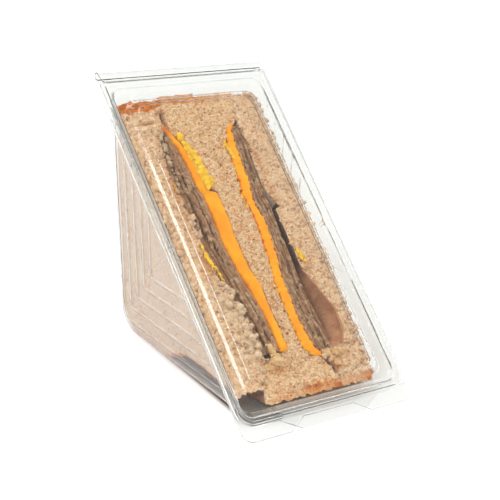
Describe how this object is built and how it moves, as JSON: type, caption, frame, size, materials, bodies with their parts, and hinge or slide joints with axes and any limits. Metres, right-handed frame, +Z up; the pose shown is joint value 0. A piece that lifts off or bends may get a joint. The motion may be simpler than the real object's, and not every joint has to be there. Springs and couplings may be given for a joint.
{
  "type": "roast beef sandwich in a clear wedge pack",
  "caption": "Roast beef and cheese sandwich on brown bread, cut corner to corner and stood up in a clear ribbed wedge tray, with a hinged see-through lid over the cut faces.",
  "frame": {"origin": "on the floor, under the middle of the pack's bounding box", "axes": "+Z up, +X to the right as seen from the front, -Y towards the front, which the sloping lid faces"},
  "size_m": [0.0988, 0.1448, 0.1287],
  "materials": {
    "tray_plastic": "clear and smooth",
    "lid_plastic": "clear and smooth",
    "bread": "open crumb, browned crust",
    "beef": "moist cooked meat",
    "cheese": "waxy, slightly glossy"
  },
  "bodies": {
    "pack": {"tray": "tray_plastic", "bread_1": "bread", "bread_2": "bread", "bread_3": "bread", "bread_4": "bread", "beef_1a": "beef", "beef_1b": "beef", "beef_1c": "beef", "beef_2a": "beef", "beef_2b": "beef", "beef_2c": "beef", "beef_2_folded": "beef", "cheese_1": "cheese", "cheese_2": "cheese"},
    "cover": {"lid": "lid_plastic"}
  },
  "joints": [
    {"name": "lid_hinge", "type": "hinge", "parent": "pack", "child": "cover", "pos_m": [0, 0.07045, 0.12669], "axis": [-1, 0, 0], "range_deg": [0, 180]}
  ]
}
